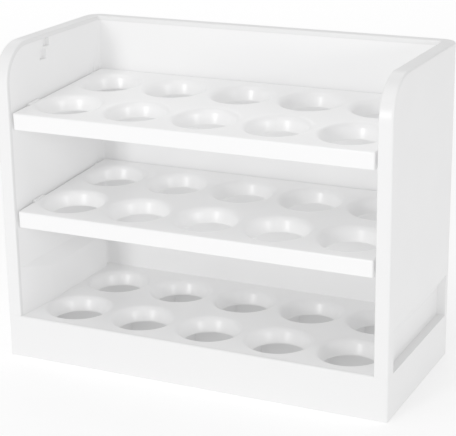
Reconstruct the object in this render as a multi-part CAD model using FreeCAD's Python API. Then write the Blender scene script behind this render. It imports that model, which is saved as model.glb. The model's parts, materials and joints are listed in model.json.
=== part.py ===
import FreeCAD
import Part
import math
import os

# Three-tier egg holder with two flip-up trays, in millimetres.
# X runs left to right, the open front faces -Y, Z is up.
# The origin is the centre of the footprint, on the surface the holder stands on.

# Driving dimensions of the casing
WIDTH = 260.0
DEPTH = 122.0
HEIGHT = 205.0
SIDE_WALL = 9.0
BACK_WALL = 8.0
SKIN = 2.2
LINER_SKIN = 2.0
RIM_FLANGE = 3.0
FRONT_TOP_RADIUS = 25.0
REAR_CORNER_RADIUS = 10.0
INNER_CORNER_RADIUS = 2.0
OUTER_EDGE_RADIUS = 1.4
INNER_EDGE_RADIUS = 0.9
SIDE_RETURN = 17.0

# Base
BASE_HEIGHT = 28.0
BASE_WALL = 2.4
LIP_RADIUS = 1.2
LEDGE_REACH = 10.0
LEDGE_FRONT_REACH = 5.0
LEDGE_THICKNESS = 2.0
RIB_THICKNESS = 1.8
RIB_FOOT_GAP = 0.6
RIB_TOP_GAP = 1.5

# Egg plates: five holes in a row, two rows
HOLES_PER_ROW = 5
HOLE_PITCH_X = 47.5
HOLE_PITCH_Y = 53.5
RIM_RADIUS = 22.8
THROUGH_RADIUS = 17.4
ROUND_OVER = 4.0
FUNNEL_ANGLE = math.radians(75.0)
PLATE_SKIN = 2.0

# Flip-up trays: heights of their pivot lines, and how far they lean down to the front
PIVOT_HEIGHTS = {"middle": 99.4, "top": 163.4}
TRAY_LEAN = 3.2
TRAY_HEIGHT = 10.6
TRAY_SIDE_GAP = 1.8
TRAY_FRONT_INSET = 1.3
TRAY_REAR_GAP = 1.4
TRAY_REAR_RADIUS = 3.0
TRAY_FRONT_RADIUS = 1.5
TRAY_EDGE_RADIUS = 1.0
TAB_LENGTH = 12.0
TAB_FROM_FRONT = 19.5
TAB_REACH = 1.3
TAB_RISE = 0.7
TAB_DROP = 7.0
TAB_EDGE_RADIUS = 0.6
TAB_ROOT = 1.0
TAB_SLIT_WIDTH = 2.2
TAB_SLIT_DEPTH = 1.6

# Pivots and rests
PIVOT_FROM_REAR_WALL = 10.8
PIN_RADIUS = 3.0
PIN_PRESS_GAP = 0.02
PIN_RUNNING_GAP = 0.06
COLLAR_RADIUS = 4.5
COLLAR_GAP = 0.3
BOSS_RADIUS = 5.2
BOSS_DEPTH = 4.0
PIN_TIP_GAP = 0.6
PIN_CHAMFER = 0.5
LEAD_IN_HEIGHT = 7.0
LEAD_IN_DEPTH = 0.8
REST_REACH = 5.0
REST_LENGTH = 12.0
REST_HEIGHT = 3.0
REST_FROM_FRONT = 9.0
REST_LIP = 1.0
REST_GAP = 0.1

# Two-step catch pockets for the raised top tray, on an arc about its pivot line
CATCH_RADIUS = 67.0
CATCH_ANGLES = (25.4, 33.0)
CATCH_WIDTH = 7.5
CATCH_HEIGHT = 6.6
CATCH_DEPTH = 3.0
CATCH_SKIN = 1.0

# Hand grips near the foot of each side
GRIP_BOTTOM = BASE_HEIGHT
GRIP_TOP = 56.0
GRIP_SHOULDER = 46.5
GRIP_DEPTH = 5.5
GRIP_FRONT_INSET = 9.0
GRIP_REAR_INSET = 13.0
GRIP_SKIN = 1.6
BULGE_DEPTH = 3.0
BULGE_TOP = 60.5
BULGE_SHOULDER = 51.5
BULGE_FRONT_RUN = 33.0
BULGE_REAR_RUN = 5.0
BULGE_PAST_GRIP = 3.5

# Tongues that locate the panels in the base and in each other
TONGUE_WIDTH = 14.0
FRONT_TONGUE_WIDTH = 3.6
REAR_TONGUE_WIDTH = 5.0
REAR_TONGUE_FROM_SEAM = 3.5
TONGUE_DROP = 9.0
TONGUE_THICKNESS = 1.8
TONGUE_GAP = 0.2
TONGUE_ROOT = 8.0
STRIP_WIDTH = 6.0
STRIP_INSET = 12.0
ROOT_OVERLAP = 0.4

# Derived places
HALF_W = WIDTH / 2
FRONT = -DEPTH / 2
REAR = DEPTH / 2
INNER_X = HALF_W - SIDE_WALL
INNER_REAR = REAR - BACK_WALL
SEAM_X = HALF_W - SIDE_RETURN
BOTTOM_PLATE_TOP = BASE_HEIGHT - BASE_WALL + PLATE_SKIN
TRAY_HALF_W = INNER_X - TRAY_SIDE_GAP
TRAY_FRONT = FRONT + TRAY_FRONT_INSET
TRAY_REAR = INNER_REAR - TRAY_REAR_GAP
ROW_CENTRE_Y = (TRAY_FRONT + TRAY_REAR) / 2
PIVOT_Y = INNER_REAR - PIVOT_FROM_REAR_WALL
TAB_FRONT = TRAY_FRONT + TAB_FROM_FRONT

# How far cutting shapes run past a face, when two places count as one, and points looked at on an edge
PAST = 1.0
SAME_PLACE = 1e-4
EDGE_SAMPLES = 5


def block(x0, x1, y0, y1, z0, z1):
    """Box between two corners."""
    corner = FreeCAD.Vector(min(x0, x1), min(y0, y1), min(z0, z1))
    return Part.makeBox(abs(x1 - x0), abs(y1 - y0), abs(z1 - z0), corner)


def mirror_x(shape):
    """Copy of a shape on the other side of the holder."""
    return shape.mirror(FreeCAD.Vector(0, 0, 0), FreeCAD.Vector(1, 0, 0))


def fuse(shapes):
    """One solid from shapes that touch or overlap."""
    return shapes[0].multiFuse(shapes[1:]).removeSplitter()


def cylinder_x(radius, x0, x1, y, z):
    """Cylinder along X between two stations."""
    start = FreeCAD.Vector(min(x0, x1), y, z)
    return Part.makeCylinder(radius, abs(x1 - x0), start, FreeCAD.Vector(1, 0, 0))


def prism_y(points, y0, y1):
    """Polygon in the XZ plane, extruded along Y."""
    corners = [FreeCAD.Vector(x, y0, z) for x, z in points]
    face = Part.Face(Part.makePolygon(corners + corners[:1]))
    return face.extrude(FreeCAD.Vector(0, y1 - y0, 0))


def prism_z(points, z0, z1):
    """Polygon in the XY plane, extruded along Z."""
    corners = [FreeCAD.Vector(x, y, z0) for x, y in points]
    face = Part.Face(Part.makePolygon(corners + corners[:1]))
    return face.extrude(FreeCAD.Vector(0, 0, z1 - z0))


def edges_along_z(shape, y_test):
    """Vertical edges whose y passes a test."""
    found = []
    for edge in shape.Edges:
        first, last = edge.Vertexes[0].Point, edge.Vertexes[-1].Point
        upright = abs(first.x - last.x) < SAME_PLACE and abs(first.y - last.y) < SAME_PLACE
        if upright and y_test(first.y):
            found.append(edge)
    return found


def rounded_block(x_half, y0, y1, z0, z1, front_radius, rear_radius):
    """Block centred on X with rounded upright edges at the front and the rear."""
    body = block(-x_half, x_half, y0, y1, z0, z1)
    middle = (y0 + y1) / 2
    if rear_radius:
        body = body.makeFillet(rear_radius, edges_along_z(body, lambda y: y > middle))
    if front_radius:
        body = body.makeFillet(front_radius, edges_along_z(body, lambda y: y < middle))
    return body


def profile_prism(front, top, radius):
    """Side view of the casing: upright front, rounded front-top corner, level top."""
    low = BASE_HEIGHT
    turn = math.radians(45)
    arc_mid = FreeCAD.Vector(
        0, front + radius - radius * math.cos(turn), top - radius + radius * math.sin(turn)
    )
    corners = [
        FreeCAD.Vector(0, front, low),
        FreeCAD.Vector(0, front, top - radius),
        FreeCAD.Vector(0, front + radius, top),
        FreeCAD.Vector(0, REAR + PAST, top),
        FreeCAD.Vector(0, REAR + PAST, low),
    ]
    sides = [
        Part.LineSegment(corners[0], corners[1]).toShape(),
        Part.Arc(corners[1], arc_mid, corners[2]).toShape(),
        Part.LineSegment(corners[2], corners[3]).toShape(),
        Part.LineSegment(corners[3], corners[4]).toShape(),
        Part.LineSegment(corners[4], corners[0]).toShape(),
    ]
    face = Part.Face(Part.Wire(sides))
    face.translate(FreeCAD.Vector(-HALF_W - PAST, 0, 0))
    return face.extrude(FreeCAD.Vector(WIDTH + 2 * PAST, 0, 0))


def rim_distance(point):
    """How far a point is from the outline that the side view of the casing follows."""
    arc_y, arc_z = FRONT + FRONT_TOP_RADIUS, HEIGHT - FRONT_TOP_RADIUS
    if point.y < arc_y and point.z > arc_z:
        return abs(math.hypot(point.y - arc_y, point.z - arc_z) - FRONT_TOP_RADIUS)
    return min(abs(point.y - FRONT), abs(point.z - HEIGHT))


def rim_edges(shape, x_reach):
    """Edges of the rim at or beyond x_reach, leaving out those that cross it."""
    found = []
    for edge in shape.Edges:
        first, last = edge.ParameterRange
        step = (last - first) / (EDGE_SAMPLES - 1)
        points = [edge.valueAt(first + k * step) for k in range(EDGE_SAMPLES)]
        if any(rim_distance(p) > SAME_PLACE for p in points):
            continue
        crosses = abs(points[0].x - points[-1].x) > PAST and points[0].y < INNER_REAR - PAST
        if not crosses and x_reach(points):
            found.append(edge)
    return found


def wall_solid():
    """Sides and back as one thick wall, before it is split into mouldings."""
    outside = rounded_block(HALF_W, FRONT, REAR, BASE_HEIGHT, HEIGHT, 0, REAR_CORNER_RADIUS)
    outside = outside.common(profile_prism(FRONT, HEIGHT, FRONT_TOP_RADIUS))
    inside = rounded_block(
        INNER_X, FRONT - DEPTH, INNER_REAR, BASE_HEIGHT - PAST, HEIGHT + PAST, 0, INNER_CORNER_RADIUS
    )
    wall = outside.cut(inside)
    wall = wall.makeFillet(OUTER_EDGE_RADIUS, rim_edges(wall, is_outer_edge))
    return wall.makeFillet(INNER_EDGE_RADIUS, rim_edges(wall, is_inner_edge))


def is_outer_edge(points):
    """True for edges on the outside of the wall."""
    mid = points[len(points) // 2]
    return abs(mid.x) > INNER_X + PAST or mid.y > INNER_REAR + PAST


def is_inner_edge(points):
    """True for edges on the inside of the wall."""
    mid = points[len(points) // 2]
    return abs(mid.x) < INNER_X + SAME_PLACE and mid.y < INNER_REAR + SAME_PLACE


def core_solid():
    """Space behind the outer skin and the rim flange."""
    core = rounded_block(
        HALF_W - SKIN,
        FRONT + RIM_FLANGE,
        REAR - SKIN,
        BASE_HEIGHT - PAST,
        HEIGHT - RIM_FLANGE,
        0,
        REAR_CORNER_RADIUS - SKIN,
    )
    profile = profile_prism(FRONT + RIM_FLANGE, HEIGHT - RIM_FLANGE, FRONT_TOP_RADIUS - RIM_FLANGE)
    foot = block(-HALF_W, HALF_W, FRONT + RIM_FLANGE, REAR, BASE_HEIGHT - PAST, BASE_HEIGHT)
    return core.common(fuse([profile, foot]))


def liner_envelope():
    """Space inside the back faces of the liner."""
    return rounded_block(
        INNER_X + LINER_SKIN,
        FRONT + RIM_FLANGE,
        INNER_REAR + LINER_SKIN,
        BOTTOM_PLATE_TOP,
        HEIGHT - RIM_FLANGE,
        0,
        INNER_CORNER_RADIUS + LINER_SKIN,
    )


def liner_layer():
    """Thin layer just behind the inside faces."""
    inner = rounded_block(
        INNER_X, FRONT - DEPTH, INNER_REAR, 0, HEIGHT + PAST, 0, INNER_CORNER_RADIUS
    )
    profile = profile_prism(FRONT + RIM_FLANGE, HEIGHT - RIM_FLANGE, FRONT_TOP_RADIUS - RIM_FLANGE)
    foot = block(-HALF_W, HALF_W, FRONT + RIM_FLANGE, REAR, BOTTOM_PLATE_TOP, BASE_HEIGHT)
    return liner_envelope().cut(inner).common(fuse([profile, foot]))


def left_zone():
    """Everything that belongs to the left side mouldings."""
    return block(-HALF_W - PAST, -SEAM_X, FRONT - PAST, REAR + PAST, 0, HEIGHT + PAST)


def back_zone():
    """Everything that belongs to the back mouldings."""
    return block(-SEAM_X, SEAM_X, FRONT - PAST, REAR + PAST, 0, HEIGHT + PAST)


def grip_recess(extra):
    """Finger recess in the left side, grown by extra for the skin behind it."""
    floor_x = -HALF_W + GRIP_DEPTH + extra
    points = [
        (-HALF_W - PAST, GRIP_BOTTOM - PAST),
        (floor_x, GRIP_BOTTOM - PAST),
        (floor_x, GRIP_SHOULDER + extra),
        (-HALF_W, GRIP_TOP + extra),
        (-HALF_W - PAST, GRIP_TOP + extra),
    ]
    return prism_y(points, FRONT + GRIP_FRONT_INSET - extra, REAR - GRIP_REAR_INSET + extra)


def tongue(x_centre, width, wall_y, root_y):
    """Tongue that drops into the base behind its wall at wall_y, and its root, which reaches root_y."""
    inward = 1 if wall_y < 0 else -1
    near = wall_y + inward * TONGUE_GAP
    far = near + inward * TONGUE_THICKNESS
    x0, x1 = x_centre - width / 2, x_centre + width / 2
    blade = block(x0, x1, near, far, BASE_HEIGHT - TONGUE_DROP, BASE_HEIGHT)
    root = block(x0, x1, root_y, far, BASE_HEIGHT, BASE_HEIGHT + TONGUE_ROOT)
    return blade, root


def side_tongues():
    """Tongues under the left side: one behind the front flange, one under the rear return."""
    front_x = -HALF_W + SIDE_WALL / 2
    rear_x = -SEAM_X - REAR_TONGUE_FROM_SEAM
    front = tongue(front_x, FRONT_TONGUE_WIDTH, FRONT + BASE_WALL, FRONT + RIM_FLANGE - ROOT_OVERLAP)
    rear = tongue(rear_x, REAR_TONGUE_WIDTH, REAR - BASE_WALL, REAR - SKIN + ROOT_OVERLAP)
    return [front, rear]


def back_tongues():
    """Tongues under the back."""
    return [
        tongue(side * WIDTH / 4, TONGUE_WIDTH, REAR - BASE_WALL, REAR - SKIN + ROOT_OVERLAP)
        for side in (-1, 1)
    ]


def left_side_shell(wall, core):
    """Outer skin of the left side with its rim flange, finger recess and tongues."""
    skin_space = core.cut(grip_recess(GRIP_SKIN))
    shell = wall.common(left_zone()).cut(skin_space)
    shell = shell.cut(grip_recess(0))
    return fuse([shell] + [piece for pair in side_tongues() for piece in pair])


def catch_pockets():
    """Pockets one above the other, where the raised top tray's tabs click in, and the pads round them."""
    pockets, pads = [], []
    floor_x = -INNER_X - CATCH_DEPTH
    for angle in CATCH_ANGLES:
        y = PIVOT_Y - CATCH_RADIUS * math.cos(math.radians(angle))
        z = PIVOT_HEIGHTS["top"] + CATCH_RADIUS * math.sin(math.radians(angle))
        half_y, half_z = CATCH_WIDTH / 2, CATCH_HEIGHT / 2
        pockets.append(block(floor_x, -INNER_X + PAST, y - half_y, y + half_y, z - half_z, z + half_z))
        half_y += CATCH_SKIN
        half_z += CATCH_SKIN
        pad_top = min(z + half_z, HEIGHT - RIM_FLANGE)
        back_x = -INNER_X - LINER_SKIN / 2
        pads.append(block(floor_x - CATCH_SKIN, back_x, y - half_y, y + half_y, z - half_z, pad_top))
    return pockets, pads


def pivot_lead_in(z):
    """Shallow ramp above a pivot bore, where the pin snaps in."""
    points = [
        (-INNER_X + PAST, z + COLLAR_RADIUS),
        (-INNER_X - LEAD_IN_DEPTH, z + COLLAR_RADIUS),
        (-INNER_X, z + COLLAR_RADIUS + LEAD_IN_HEIGHT),
        (-INNER_X + PAST, z + COLLAR_RADIUS + LEAD_IN_HEIGHT),
    ]
    return prism_y(points, PIVOT_Y - PIN_RADIUS, PIVOT_Y + PIN_RADIUS)


def lean(shape, pivot_z):
    """Turn a level shape about a pivot line, so that its front comes down to where the tray lies."""
    leaning = shape.copy()
    leaning.rotate(FreeCAD.Vector(0, PIVOT_Y, pivot_z), FreeCAD.Vector(1, 0, 0), TRAY_LEAN)
    return leaning


def tray_rest(pivot_z):
    """Ledge on the left liner that the tray's side rests on."""
    top = pivot_z - TRAY_HEIGHT / 2 - REST_GAP
    front = TRAY_FRONT + REST_FROM_FRONT
    points = [
        (-INNER_X - LINER_SKIN / 2, top),
        (-INNER_X + REST_REACH, top),
        (-INNER_X + REST_REACH, top - REST_LIP),
        (-INNER_X - LINER_SKIN / 2, top - REST_HEIGHT),
    ]
    return lean(prism_y(points, front, front + REST_LENGTH), pivot_z)


def bulge_shape(x, top, shoulder, low):
    """Bulge off an upright plane at x: sloping at the top, and running out to nothing at both ends."""
    deep = x + BULGE_DEPTH
    front = FRONT + RIM_FLANGE
    rear = REAR - GRIP_REAR_INSET + BULGE_PAST_GRIP
    side_view = [(x - PAST, top), (x, top), (deep, shoulder), (deep, low), (x - PAST, low)]
    plan = [
        (x - PAST, front),
        (x, front),
        (deep, front + BULGE_FRONT_RUN),
        (deep, rear - BULGE_REAR_RUN),
        (x, rear),
        (x - PAST, rear),
    ]
    return prism_y(side_view, front, rear).common(prism_z(plan, low, top))


def liner_bulge():
    """Inward bulge of the left liner that makes room for the finger recess, and the hollow behind it."""
    solid = bulge_shape(-INNER_X, BULGE_TOP, BULGE_SHOULDER, BOTTOM_PLATE_TOP)
    drop = LINER_SKIN / 2
    back_x = -INNER_X - LINER_SKIN
    hollow = bulge_shape(back_x, BULGE_TOP - drop, BULGE_SHOULDER - drop, BOTTOM_PLATE_TOP - PAST)
    return solid, hollow


def left_side_liner(layer):
    """Inner skin of the left side: bulge, tray rests, pivot bores and catch pockets."""
    bulge, hollow = liner_bulge()
    bulge = bulge.common(liner_envelope())
    pockets, pads = catch_pockets()
    liner = fuse([layer.common(left_zone()), bulge] + pads).cut(hollow)
    back_x = -INNER_X - LINER_SKIN
    for pivot_z in PIVOT_HEIGHTS.values():
        boss = cylinder_x(BOSS_RADIUS, back_x + LINER_SKIN / 2, back_x - BOSS_DEPTH, PIVOT_Y, pivot_z)
        bore = cylinder_x(
            PIN_RADIUS + PIN_RUNNING_GAP, -INNER_X + PAST, back_x - BOSS_DEPTH - PAST, PIVOT_Y, pivot_z
        )
        liner = fuse([liner, boss, tray_rest(pivot_z)]).cut(bore)
        liner = liner.cut(pivot_lead_in(pivot_z))
    for pocket in pockets:
        liner = liner.cut(pocket)
    return liner


def back_shell(wall, core):
    """Outer skin of the back with its rim flange, tongues, and strips that overlap the side shells."""
    shell = wall.common(back_zone()).cut(core)
    pieces = [shell] + [piece for pair in back_tongues() for piece in pair]
    skin_y = REAR - SKIN
    low, high = BASE_HEIGHT + STRIP_INSET, HEIGHT - STRIP_INSET
    for side in (-1, 1):
        root = block(
            side * (SEAM_X - STRIP_WIDTH),
            side * SEAM_X,
            skin_y - TONGUE_THICKNESS,
            skin_y + ROOT_OVERLAP,
            low,
            high,
        )
        blade = block(
            side * (SEAM_X - PAST),
            side * (SEAM_X + STRIP_WIDTH),
            skin_y - TONGUE_THICKNESS,
            skin_y - TONGUE_GAP,
            low,
            high,
        )
        pieces += [root, blade]
    return fuse(pieces)


def back_liner(layer):
    """Inner skin of the back."""
    return layer.common(back_zone())


def base_shell():
    """Open-bottomed plinth: front lip, ledge for the egg plate, ribs and tongue slots."""
    outside = rounded_block(HALF_W, FRONT, REAR, 0, BASE_HEIGHT, OUTER_EDGE_RADIUS, REAR_CORNER_RADIUS)
    walls = outside.cut(
        rounded_block(
            HALF_W - BASE_WALL,
            FRONT + BASE_WALL,
            REAR - BASE_WALL,
            -PAST,
            BASE_HEIGHT - BASE_WALL,
            0,
            REAR_CORNER_RADIUS - BASE_WALL,
        )
    )
    opening = rounded_block(
        INNER_X + LINER_SKIN + TONGUE_GAP,
        FRONT + BASE_WALL,
        INNER_REAR + LINER_SKIN + TONGUE_GAP,
        BASE_HEIGHT - BASE_WALL - PAST,
        BASE_HEIGHT + PAST,
        0,
        INNER_CORNER_RADIUS + LINER_SKIN,
    )
    base = walls.cut(opening)
    base = fuse([base, plate_ledge()] + base_ribs())
    for blade, root in side_tongues() + back_tongues():
        slot = grown(blade, TONGUE_GAP)
        base = base.cut(slot).cut(mirror_x(slot))
    return base.cut(lip_round_over())


def lip_round_over():
    """What is taken off the front lip's top edge, between the side walls, to round it."""
    y, z = FRONT + LIP_RADIUS, BASE_HEIGHT - LIP_RADIUS
    corner = block(-INNER_X, INNER_X, FRONT - PAST, y, z, BASE_HEIGHT + PAST)
    return corner.cut(cylinder_x(LIP_RADIUS, -INNER_X - PAST, INNER_X + PAST, y, z))


def plate_ledge():
    """Ledge round the inside of the base, under the egg plate's edge."""
    top = BOTTOM_PLATE_TOP - PLATE_SKIN
    low = top - LEDGE_THICKNESS
    inset = BASE_WALL / 2
    outer = rounded_block(
        HALF_W - inset, FRONT + inset, REAR - inset, low, top, 0, REAR_CORNER_RADIUS - inset
    )
    inner = block(
        LEDGE_REACH - HALF_W,
        HALF_W - LEDGE_REACH,
        FRONT + LEDGE_FRONT_REACH,
        REAR - LEDGE_REACH,
        low - PAST,
        top + PAST,
    )
    return outer.cut(inner)


def base_ribs():
    """Ribs under the egg plate, between the hole columns and between the rows."""
    top = BOTTOM_PLATE_TOP - PLATE_SKIN - RIB_TOP_GAP
    half = RIB_THICKNESS / 2
    inset = BASE_WALL / 2
    ribs = []
    for gap_number in range(HOLES_PER_ROW - 1):
        x = (gap_number - (HOLES_PER_ROW - 2) / 2) * HOLE_PITCH_X
        ribs.append(block(x - half, x + half, FRONT + inset, REAR - inset, RIB_FOOT_GAP, top))
    y = ROW_CENTRE_Y
    ribs.append(block(inset - HALF_W, HALF_W - inset, y - half, y + half, RIB_FOOT_GAP, top))
    return ribs


def grown(shape, gap):
    """Block a little larger than a shape's box on every side."""
    box = shape.BoundBox
    x0, x1 = box.XMin - gap, box.XMax + gap
    y0, y1 = box.YMin - gap, box.YMax + gap
    return block(x0, x1, y0, y1, box.ZMin - gap, box.ZMax + gap)


def funnel():
    """Flared wall of one egg hole, centred on the Z axis with its rim at z = 0."""
    s, c = math.sin(FUNNEL_ANGLE), math.cos(FUNNEL_ANGLE)
    half = FUNNEL_ANGLE / 2

    def on_arc(radius, angle):
        return FreeCAD.Vector(
            RIM_RADIUS - radius * math.sin(angle), 0, -ROUND_OVER + radius * math.cos(angle)
        )

    under = ROUND_OVER - PLATE_SKIN
    top_start, top_mid, top_end = (on_arc(ROUND_OVER, a) for a in (0, half, FUNNEL_ANGLE))
    low_start, low_mid, low_end = (on_arc(under, a) for a in (0, half, FUNNEL_ANGLE))
    run = (top_end.x - THROUGH_RADIUS) / c
    tip_top = top_end + FreeCAD.Vector(-c, 0, -s) * run
    tip_low = low_end + FreeCAD.Vector(-c, 0, -s) * run
    tip_mid = (tip_top + tip_low) * 0.5 + FreeCAD.Vector(-c, 0, -s) * (PLATE_SKIN / 2)
    outline = [
        Part.Arc(top_start, top_mid, top_end).toShape(),
        Part.LineSegment(top_end, tip_top).toShape(),
        Part.Arc(tip_top, tip_mid, tip_low).toShape(),
        Part.LineSegment(tip_low, low_end).toShape(),
        Part.Arc(low_end, low_mid, low_start).toShape(),
        Part.LineSegment(low_start, top_start).toShape(),
    ]
    face = Part.Face(Part.Wire(outline))
    return face.revolve(FreeCAD.Vector(0, 0, 0), FreeCAD.Vector(0, 0, 1), 360)


def hole_centres():
    """Centres of the egg holes, seen from above."""
    centres = []
    for row in (-0.5, 0.5):
        for column in range(HOLES_PER_ROW):
            x = (column - (HOLES_PER_ROW - 1) / 2) * HOLE_PITCH_X
            centres.append((x, ROW_CENTRE_Y + row * HOLE_PITCH_Y))
    return centres


def with_egg_holes(plate, top):
    """Plate with every hole opened and its flared wall added."""
    flare = funnel()
    walls = []
    for x, y in hole_centres():
        opening = Part.makeCylinder(RIM_RADIUS, PLATE_SKIN, FreeCAD.Vector(x, y, top - PLATE_SKIN))
        plate = plate.cut(opening)
        wall = flare.copy()
        wall.translate(FreeCAD.Vector(x, y, top))
        walls.append(wall)
    return fuse([plate] + walls)


def bottom_egg_plate():
    """Flat egg plate that drops into the base."""
    plate = rounded_block(
        INNER_X + LINER_SKIN - TONGUE_GAP,
        FRONT + BASE_WALL + TONGUE_GAP,
        INNER_REAR + LINER_SKIN - TONGUE_GAP,
        BOTTOM_PLATE_TOP - PLATE_SKIN,
        BOTTOM_PLATE_TOP,
        0,
        INNER_CORNER_RADIUS + LINER_SKIN,
    )
    return with_egg_holes(plate, BOTTOM_PLATE_TOP)


def tray_body(top):
    """Level tray with skirts on all four sides and rounded edges."""
    low = top - TRAY_HEIGHT
    body = rounded_block(
        TRAY_HALF_W, TRAY_FRONT, TRAY_REAR, low, top, TRAY_FRONT_RADIUS, TRAY_REAR_RADIUS
    )
    top_face = max(body.Faces, key=lambda face: face.CenterOfMass.z)
    body = body.makeFillet(TRAY_EDGE_RADIUS, top_face.Edges)
    hollow = rounded_block(
        TRAY_HALF_W - PLATE_SKIN,
        TRAY_FRONT + PLATE_SKIN,
        TRAY_REAR - PLATE_SKIN,
        low - PAST,
        top - PLATE_SKIN,
        0,
        TRAY_REAR_RADIUS - PLATE_SKIN,
    )
    return body.cut(hollow)


def tray_side_features(pivot_z):
    """Tab, slit, pin boss and pin bore on the tray's left side: what is added and what is cut."""
    edge = -TRAY_HALF_W
    inner = edge + PLATE_SKIN
    top = pivot_z + TRAY_HEIGHT / 2
    tab = block(
        edge - TAB_REACH, edge + TAB_ROOT, TAB_FRONT, TAB_FRONT + TAB_LENGTH, top - TAB_DROP, top + TAB_RISE
    )
    tab = tab.makeFillet(TAB_EDGE_RADIUS, tab.Edges)
    boss = cylinder_x(BOSS_RADIUS, edge + PLATE_SKIN / 2, inner + BOSS_DEPTH, PIVOT_Y, pivot_z)
    slit_front = TAB_FRONT - TAB_SLIT_WIDTH
    slit = block(
        edge - PAST, edge + TAB_SLIT_DEPTH, slit_front, TAB_FRONT, top - TAB_DROP, top + PAST
    )
    bore = cylinder_x(
        PIN_RADIUS + PIN_PRESS_GAP, edge - PAST, inner + BOSS_DEPTH + PAST, PIVOT_Y, pivot_z
    )
    return [tab, boss], [slit, bore]


def flip_tray(pivot_z):
    """Flip-up egg tray, lying where it rests."""
    top = pivot_z + TRAY_HEIGHT / 2
    tray = with_egg_holes(tray_body(top), top)
    added, removed = tray_side_features(pivot_z)
    tray = fuse([tray] + added + [mirror_x(shape) for shape in added])
    for shape in removed:
        tray = tray.cut(shape).cut(mirror_x(shape))
    return lean(tray, pivot_z)


def pivot_pin(pivot_z):
    """Left pivot pin: pressed into the tray, turning in the liner's bore."""
    edge = -TRAY_HALF_W
    inner_end = edge + PLATE_SKIN + BOSS_DEPTH
    tip = -INNER_X - LINER_SKIN - BOSS_DEPTH + PIN_TIP_GAP
    shaft = cylinder_x(PIN_RADIUS, tip, inner_end, PIVOT_Y, pivot_z)
    ends = [circle for circle in shaft.Edges if circle.Closed]
    shaft = shaft.makeChamfer(PIN_CHAMFER, ends)
    collar = cylinder_x(COLLAR_RADIUS, edge, -INNER_X + COLLAR_GAP, PIVOT_Y, pivot_z)
    return fuse([shaft, collar])


def export(shape, name):
    """Write one node."""
    shape.exportStep(os.path.join("parts", name + ".step"))


def main():
    os.makedirs("parts", exist_ok=True)
    wall = wall_solid()
    core = core_solid()
    layer = liner_layer()
    side_shell = left_side_shell(wall, core)
    side_liner = left_side_liner(layer)
    export(side_shell, "left_side_shell")
    export(mirror_x(side_shell), "right_side_shell")
    export(side_liner, "left_side_liner")
    export(mirror_x(side_liner), "right_side_liner")
    export(back_shell(wall, core), "back_shell")
    export(back_liner(layer), "back_liner")
    export(base_shell(), "base_shell")
    export(bottom_egg_plate(), "bottom_egg_plate")
    for name, pivot_z in PIVOT_HEIGHTS.items():
        export(flip_tray(pivot_z), name + "_tray")
        pin = pivot_pin(pivot_z)
        export(pin, name + "_tray_left_pin")
        export(mirror_x(pin), name + "_tray_right_pin")


main()
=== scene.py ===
import json
import math

import bpy
from mathutils import Matrix, Vector

MILLIMETRE = 0.001
WHITE = (1.0, 1.0, 1.0, 1.0)

# The camera: focal length on a 36 mm wide sensor, place, and how it is turned.
LENS = 118.26
SENSOR_WIDTH = 36.0
CAMERA_PLACE = (0.38966, -0.82005, 0.38545)
CAMERA_YAW = math.radians(25.43)
CAMERA_PITCH = math.radians(17.92)
CAMERA_ROLL = math.radians(-0.81)
CLIP_START = 0.05
CLIP_END = 50.0

# Pale surroundings, and softboxes: place, the point each is aimed at, width, height, watts.
VIEW_GAMMA = 1.9
WORLD_STRENGTH = 0.33
OBJECT_MIDDLE = (0.0, 0.0, 0.1)
SOFTBOXES = {
    "front_softbox": ((-0.34, -1.55, 0.42), OBJECT_MIDDLE, 0.2, 0.28, 5.9),
    "right_softbox": ((1.35, -0.8, 0.42), OBJECT_MIDDLE, 0.3, 0.3, 4.0),
    "overhead_softbox": ((-0.35, -0.7, 1.7), OBJECT_MIDDLE, 1.6, 1.2, 7.5),
    "backdrop_softbox": ((-0.9, 1.6, 1.5), (-0.9, 1.5, 0.0), 2.4, 1.6, 14.0),
}

# The floor
FLOOR_HALF = 6.0
FLOOR_TONE = 0.95
FLOOR_ROUGHNESS = 0.9
FLOOR_SPECULAR = 0.1
FLOOR_GLOW = 0.27

# Plastics: tone, roughness, coat weight, strength of the fine grain, radius of the softened edges. All
# are one white plastic. The liners and trays inside get lighter tones than the casing outside, which is
# painted light lifting the shade inside the casing, and the casing's darker tone is painted shade on its
# lit outer faces.
PLASTICS = {
    "casing_plastic": (0.815, 0.38, 0.12, 0.25, 0.4 * MILLIMETRE),
    # liner and tray tones lifted above the casing's: painted light in the shaded inside
    "liner_plastic": (0.965, 0.4, 0.1, 0.35, 0.3 * MILLIMETRE),
    "tray_plastic": (0.905, 0.345, 0.7, 0.15, 0.4 * MILLIMETRE),
    "pin_plastic": (0.9, 0.345, 0.2, 0.2, 0.2 * MILLIMETRE),
}
PLASTIC_IOR = 1.5
COAT_ROUGHNESS = 0.28

# Noise in the plastics: scale in cycles a metre, and detail.
CLOUD = (9.0, 1.0)
POLISH = (38.0, 2.0)
RIPPLE = (55.0, 2.0)
GRAIN = (1400.0, 2.0)

# How far the noise varies the tone (red and green, then blue) and the roughness, as factors.
CLOUD_TONE = (0.99, 0.994)
POLISH_ROUGHNESS = (0.82, 1.2)
NOISE_LOW = 0.3
NOISE_HIGH = 0.7

# Relief
RIPPLE_STRENGTH = 0.05
RIPPLE_DEPTH = 0.4 * MILLIMETRE
GRAIN_DEPTH = 0.05 * MILLIMETRE
EDGE_SAMPLES = 4


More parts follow.
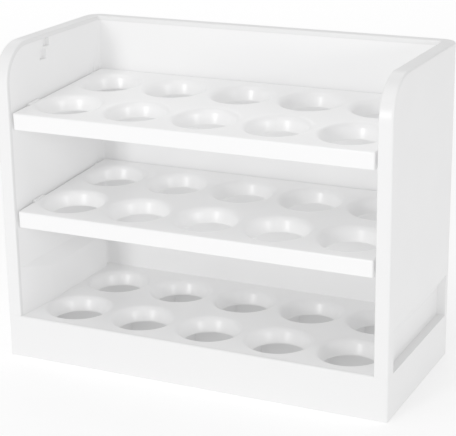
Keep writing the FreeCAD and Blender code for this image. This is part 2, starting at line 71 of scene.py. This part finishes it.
def make_camera():
    """Camera at the photograph's viewing angle."""
    cy, sy = math.cos(CAMERA_YAW), math.sin(CAMERA_YAW)
    cp, sp = math.cos(CAMERA_PITCH), math.sin(CAMERA_PITCH)
    forward = Vector((-sy * cp, cy * cp, -sp))
    right = Vector((cy, sy, 0.0))
    up = right.cross(forward)
    cr, sr = math.cos(CAMERA_ROLL), math.sin(CAMERA_ROLL)
    right, up = cr * right + sr * up, -sr * right + cr * up
    data = bpy.data.cameras.new("camera")
    data.lens = LENS
    data.sensor_width = SENSOR_WIDTH
    data.sensor_fit = "HORIZONTAL"
    data.clip_start = CLIP_START
    data.clip_end = CLIP_END
    camera = bpy.data.objects.new("camera", data)
    bpy.context.collection.objects.link(camera)
    turn = Matrix((right, up, -forward)).transposed().to_4x4()
    camera.matrix_world = Matrix.Translation(CAMERA_PLACE) @ turn
    bpy.context.scene.camera = camera


def area_light(name, place, target, width, height, power):
    """Rectangular softbox aimed at a point."""
    data = bpy.data.lights.new(name, "AREA")
    data.shape = "RECTANGLE"
    data.size = width
    data.size_y = height
    data.energy = power
    light = bpy.data.objects.new(name, data)
    bpy.context.collection.objects.link(light)
    light.location = place
    light.rotation_mode = "QUATERNION"
    light.rotation_quaternion = (Vector(target) - Vector(place)).to_track_quat("-Z", "Y")


def make_lights():
    """Pale surroundings, and softboxes in front, at the right, overhead and over the floor behind."""
    world = bpy.data.worlds.new("surroundings")
    world.use_nodes = True
    background = world.node_tree.nodes["Background"]
    background.inputs["Color"].default_value = WHITE
    background.inputs["Strength"].default_value = WORLD_STRENGTH
    bpy.context.scene.world = world
    for name, settings in SOFTBOXES.items():
        area_light(name, *settings)


def make_floor():
    """Plain pale floor, which gives off a little light of its own."""
    mesh = bpy.data.meshes.new("floor")
    h = FLOOR_HALF
    mesh.from_pydata([(-h, -h, 0), (h, -h, 0), (h, h, 0), (-h, h, 0)], [], [(0, 1, 2, 3)])
    floor = bpy.data.objects.new("floor", mesh)
    bpy.context.collection.objects.link(floor)
    material = bpy.data.materials.new("floor_paint")
    material.use_nodes = True
    shader = material.node_tree.nodes["Principled BSDF"]
    shader.inputs["Base Color"].default_value = (FLOOR_TONE, FLOOR_TONE, FLOOR_TONE, 1.0)
    shader.inputs["Roughness"].default_value = FLOOR_ROUGHNESS
    shader.inputs["Specular IOR Level"].default_value = FLOOR_SPECULAR
    shader.inputs["Emission Color"].default_value = WHITE
    shader.inputs["Emission Strength"].default_value = FLOOR_GLOW
    mesh.materials.append(material)


def add_noise(tree, scale, detail):
    """Noise texture on object coordinates."""
    noise = tree.nodes.new("ShaderNodeTexNoise")
    noise.inputs["Scale"].default_value = scale
    noise.inputs["Detail"].default_value = detail
    place = tree.nodes.new("ShaderNodeTexCoord").outputs["Object"]
    tree.links.new(place, noise.inputs["Vector"])
    return noise.outputs["Fac"]


def add_range(tree, value, low, high):
    """Map the middle of a noise value's range to low and high."""
    ramp = tree.nodes.new("ShaderNodeMapRange")
    ramp.inputs["From Min"].default_value = NOISE_LOW
    ramp.inputs["From Max"].default_value = NOISE_HIGH
    ramp.inputs["To Min"].default_value = low
    ramp.inputs["To Max"].default_value = high
    tree.links.new(value, ramp.inputs["Value"])
    return ramp.outputs["Result"]


def add_bump(tree, noise, strength, depth, normal):
    """Relief from a noise, on top of a normal."""
    bump = tree.nodes.new("ShaderNodeBump")
    bump.inputs["Strength"].default_value = strength
    bump.inputs["Distance"].default_value = depth
    tree.links.new(noise, bump.inputs["Height"])
    tree.links.new(normal, bump.inputs["Normal"])
    return bump.outputs["Normal"]


def add_cloudy_tone(tree, tone):
    """White that varies slowly over the moulding."""
    darker, darker_blue = (tone * factor for factor in CLOUD_TONE)
    colour = tree.nodes.new("ShaderNodeMix")
    colour.data_type = "RGBA"
    colour.inputs["A"].default_value = (darker, darker, darker_blue, 1.0)
    colour.inputs["B"].default_value = (tone, tone, tone, 1.0)
    cloud = add_range(tree, add_noise(tree, *CLOUD), 0.0, 1.0)
    tree.links.new(cloud, colour.inputs["Factor"])
    return colour.outputs["Result"]


def moulded_plastic(name, tone, roughness, coat, grain, edge_radius):
    """White moulded plastic: cloudy tone, uneven polish, flow ripples, fine grain and softened edges."""
    material = bpy.data.materials.new(name)
    material.use_nodes = True
    tree = material.node_tree
    shader = tree.nodes["Principled BSDF"]
    tree.links.new(add_cloudy_tone(tree, tone), shader.inputs["Base Color"])

    low, high = (roughness * factor for factor in POLISH_ROUGHNESS)
    polish = add_range(tree, add_noise(tree, *POLISH), low, high)
    tree.links.new(polish, shader.inputs["Roughness"])

    rounded = tree.nodes.new("ShaderNodeBevel")
    rounded.samples = EDGE_SAMPLES
    rounded.inputs["Radius"].default_value = edge_radius
    ripple = add_noise(tree, *RIPPLE)
    normal = add_bump(tree, ripple, RIPPLE_STRENGTH, RIPPLE_DEPTH, rounded.outputs["Normal"])
    normal = add_bump(tree, add_noise(tree, *GRAIN), grain, GRAIN_DEPTH, normal)
    tree.links.new(normal, shader.inputs["Normal"])

    shader.inputs["IOR"].default_value = PLASTIC_IOR
    shader.inputs["Coat Weight"].default_value = coat
    shader.inputs["Coat Roughness"].default_value = COAT_ROUGHNESS
    return material


def finish_nodes(frame):
    """Give every CAD node its plastic."""
    plastics = {name: moulded_plastic(name, *settings) for name, settings in PLASTICS.items()}
    for part in frame["record"]["subparts"]:
        mesh = frame["nodes"][part["node"]].data
        mesh.materials.clear()
        mesh.materials.append(plastics[part["material_slot"]])


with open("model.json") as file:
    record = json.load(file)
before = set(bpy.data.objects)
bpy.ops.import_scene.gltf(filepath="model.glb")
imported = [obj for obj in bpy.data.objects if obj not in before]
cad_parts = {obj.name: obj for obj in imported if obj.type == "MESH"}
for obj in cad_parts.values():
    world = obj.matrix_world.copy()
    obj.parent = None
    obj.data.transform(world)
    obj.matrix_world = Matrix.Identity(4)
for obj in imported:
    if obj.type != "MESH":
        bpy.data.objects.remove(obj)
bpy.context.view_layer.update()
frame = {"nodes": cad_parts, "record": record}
view_settings = bpy.context.scene.view_settings
view_settings.view_transform = "Standard"
view_settings.look = "None"
view_settings.gamma = VIEW_GAMMA
make_camera()
make_lights()
make_floor()
finish_nodes(frame)
